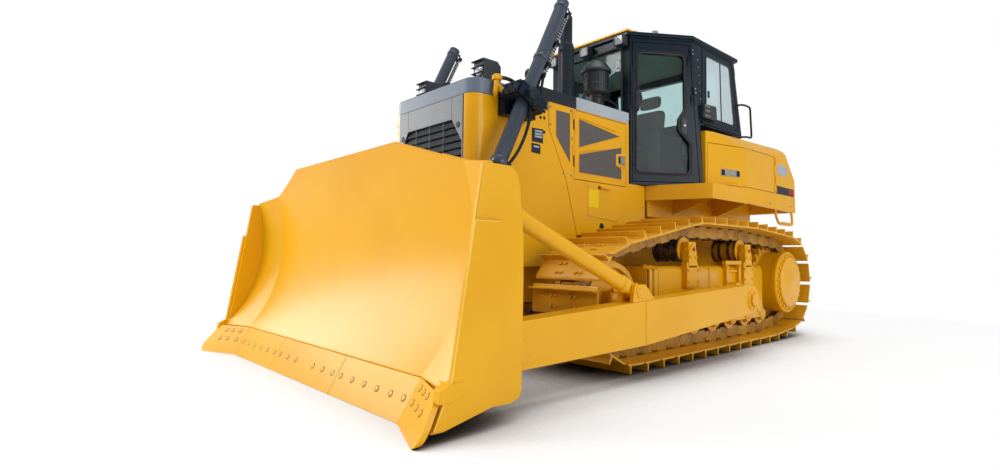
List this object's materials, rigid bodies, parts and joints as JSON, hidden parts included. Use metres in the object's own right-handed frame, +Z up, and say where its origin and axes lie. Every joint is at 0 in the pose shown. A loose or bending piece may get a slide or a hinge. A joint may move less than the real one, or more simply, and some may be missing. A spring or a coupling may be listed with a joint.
{
  "type": "bulldozer",
  "caption": "Crawler bulldozer with a semi-U blade on push arms, twin lift cylinders, enclosed cab, opening doors and looped steel tracks",
  "frame": {"origin": "on the ground, in the middle of the overall length and width", "axes": "+X forward, +Y the machine's left, +Z up"},
  "size_m": [5.903, 3.388, 3.234],
  "materials": {
    "yellow_paint": "semi-gloss paint, dusty and lightly worn",
    "slate_paint": "semi-gloss paint",
    "dark_paint": "semi-gloss paint",
    "track_paint": "yellow paint, thin on the treads and rails",
    "engine_iron": "dull paint",
    "bright_rod": "polished",
    "dark_pipe": "satin paint",
    "window_glass": "tinted",
    "seat_cover": "woven",
    "dark_plastic": "grained",
    "lamp_body": "smooth"
  },
  "bodies": {
    "machine": {"bottom_guard": "yellow_paint", "cab_glass": "window_glass", "cab_roof": "dark_paint", "cab_shell": "dark_paint", "carrier_rollers_left": "track_paint", "carrier_rollers_right": "track_paint", "console": "dark_plastic", "cylinder_yokes": "dark_paint", "drawbar": "dark_paint", "engine_block": "engine_iron", "exhaust_stack": "dark_pipe", "fender_left": "yellow_paint", "fender_right": "yellow_paint", "final_drive_left": "yellow_paint", "final_drive_right": "yellow_paint", "grille": "slate_paint", "guard_cap": "slate_paint", "head_lamps": "lamp_body", "hood": "yellow_paint", "hood_side_left": "yellow_paint", "hood_side_right": "yellow_paint", "idler_left": "track_paint", "idler_right": "track_paint", "main_frame": "yellow_paint", "pre_cleaner": "dark_pipe", "radiator_guard": "yellow_paint", "rear_tank": "yellow_paint", "roof_cap": "yellow_paint", "seat": "seat_cover", "sprocket_left": "track_paint", "sprocket_right": "track_paint", "track_frame_left": "yellow_paint", "track_frame_right": "yellow_paint", "track_left": "track_paint", "track_right": "track_paint", "track_rollers_left": "track_paint", "track_rollers_right": "track_paint", "work_lamps": "lamp_body"},
    "blade": {"blade": "yellow_paint", "cutting_edge": "yellow_paint", "end_bits": "yellow_paint", "push_arm_left": "yellow_paint", "push_arm_right": "yellow_paint", "blade_braces": "yellow_paint"},
    "cylinder_left": {"lift_cylinder_left": "slate_paint"},
    "cylinder_right": {"lift_cylinder_right": "slate_paint"},
    "rod_left": {"lift_rod_left": "bright_rod"},
    "rod_right": {"lift_rod_right": "bright_rod"},
    "cab_door_left": {"cab_door_left": "dark_paint", "cab_door_glass_left": "window_glass"},
    "cab_door_right": {"cab_door_right": "dark_paint", "cab_door_glass_right": "window_glass"},
    "engine_door_left": {"engine_door_left": "yellow_paint"},
    "engine_door_right": {"engine_door_right": "yellow_paint"},
    "tank_door_left": {"tank_door_left": "yellow_paint"},
    "tank_door_right": {"tank_door_right": "yellow_paint"}
  },
  "joints": [
    {"name": "blade_lift", "type": "hinge", "parent": "machine", "child": "blade", "pos_m": [-0.6485, 0, 0.48], "axis": [0, -1, 0], "range_deg": [-8.4, 20.4]},
    {"name": "cylinder_left_swing", "type": "hinge", "parent": "machine", "child": "cylinder_left", "pos_m": [1.3745, 0.727, 2.035], "axis": [0, -1, 0], "range_deg": [-6.8, 16.4]},
    {"name": "rod_left_slide", "type": "slide", "parent": "cylinder_left", "child": "rod_left", "axis": [0.4436, 0, -0.8962], "range_m": [-0.9, 0.372]},
    {"name": "cylinder_right_swing", "type": "hinge", "parent": "machine", "child": "cylinder_right", "pos_m": [1.3745, -0.727, 2.035], "axis": [0, -1, 0], "range_deg": [-6.8, 16.4]},
    {"name": "rod_right_slide", "type": "slide", "parent": "cylinder_right", "child": "rod_right", "axis": [0.4436, 0, -0.8962], "range_m": [-0.9, 0.372]},
    {"name": "cab_door_left_hinge", "type": "hinge", "parent": "machine", "child": "cab_door_left", "pos_m": [-0.86076, 0.88803, 2.6], "axis": [0.0613, -0.0413, 0.9973], "range_deg": [0, 105]},
    {"name": "engine_door_left_hinge", "type": "hinge", "parent": "machine", "child": "engine_door_left", "pos_m": [0.5825, 0.561, 1.833], "axis": [0, 0, -1], "range_deg": [0, 110]},
    {"name": "tank_door_left_hinge", "type": "hinge", "parent": "machine", "child": "tank_door_left", "pos_m": [-2.3495, 1.097, 1.816], "axis": [0, 0, 1], "range_deg": [0, 100]},
    {"name": "cab_door_right_hinge", "type": "hinge", "parent": "machine", "child": "cab_door_right", "pos_m": [-0.86076, -0.88803, 2.6], "axis": [-0.0613, -0.0413, -0.9973], "range_deg": [0, 105]},
    {"name": "engine_door_right_hinge", "type": "hinge", "parent": "machine", "child": "engine_door_right", "pos_m": [0.5825, -0.561, 1.833], "axis": [0, 0, 1], "range_deg": [0, 110]},
    {"name": "tank_door_right_hinge", "type": "hinge", "parent": "machine", "child": "tank_door_right", "pos_m": [-2.3495, -1.097, 1.816], "axis": [0, 0, -1], "range_deg": [0, 100]}
  ],
  "couplings": [
    {"joint": "cylinder_left_swing", "follows": "blade_lift", "ratio": 0.8},
    {"joint": "rod_left_slide", "follows": "blade_lift", "m_per_rad": -2.52},
    {"joint": "cylinder_right_swing", "follows": "blade_lift", "ratio": 0.8},
    {"joint": "rod_right_slide", "follows": "blade_lift", "m_per_rad": -2.52}
  ]
}
